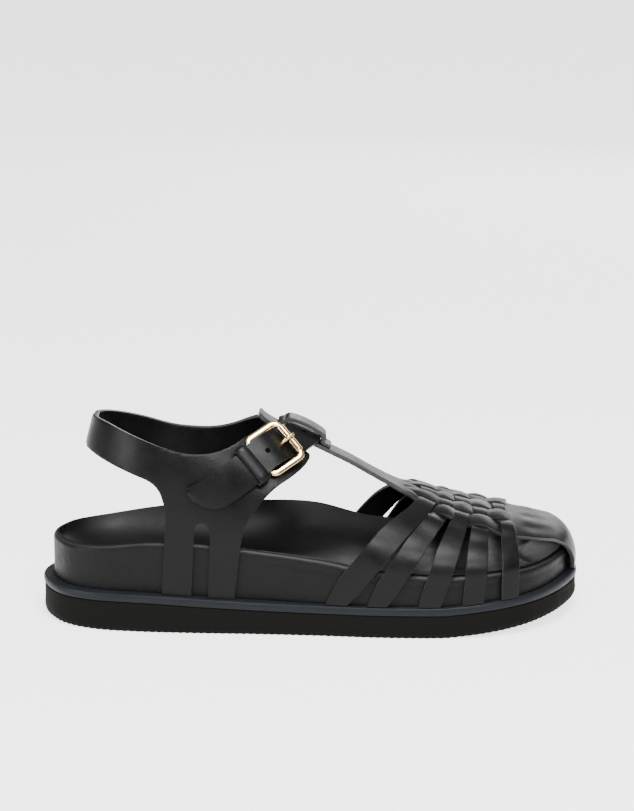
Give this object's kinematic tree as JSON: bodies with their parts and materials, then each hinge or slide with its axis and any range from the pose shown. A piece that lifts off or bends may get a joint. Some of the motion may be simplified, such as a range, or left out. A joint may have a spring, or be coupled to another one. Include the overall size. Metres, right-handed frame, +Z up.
{
  "type": "fisherman sandal",
  "caption": "Right fisherman sandal of black leather with a closed woven front, T-bar, buckled ankle strap, contoured footbed and thick flat sole.",
  "frame": {"origin": "on the floor under the middle of the sole's bounding box", "axes": "+X from heel to toe, +Y from the outer (lateral) to the inner (medial) side, +Z up"},
  "size_m": [0.2626, 0.0957, 0.0996],
  "materials": {
    "black_leather": "smooth, semi-gloss",
    "black_foam": "matte foam",
    "slate_runner": "satin",
    "gold_metal": "polished"
  },
  "bodies": {
    "root": {"outsole": "black_foam", "welt": "slate_runner", "footbed": "black_leather", "insole": "black_leather", "vamp": "black_leather", "quarter": "black_leather", "ankle_strap": "black_leather", "keeper_loop": "black_leather", "buckle_frame": "gold_metal", "buckle_roller": "gold_metal", "buckle_prong": "gold_metal"}
  },
  "joints": []
}
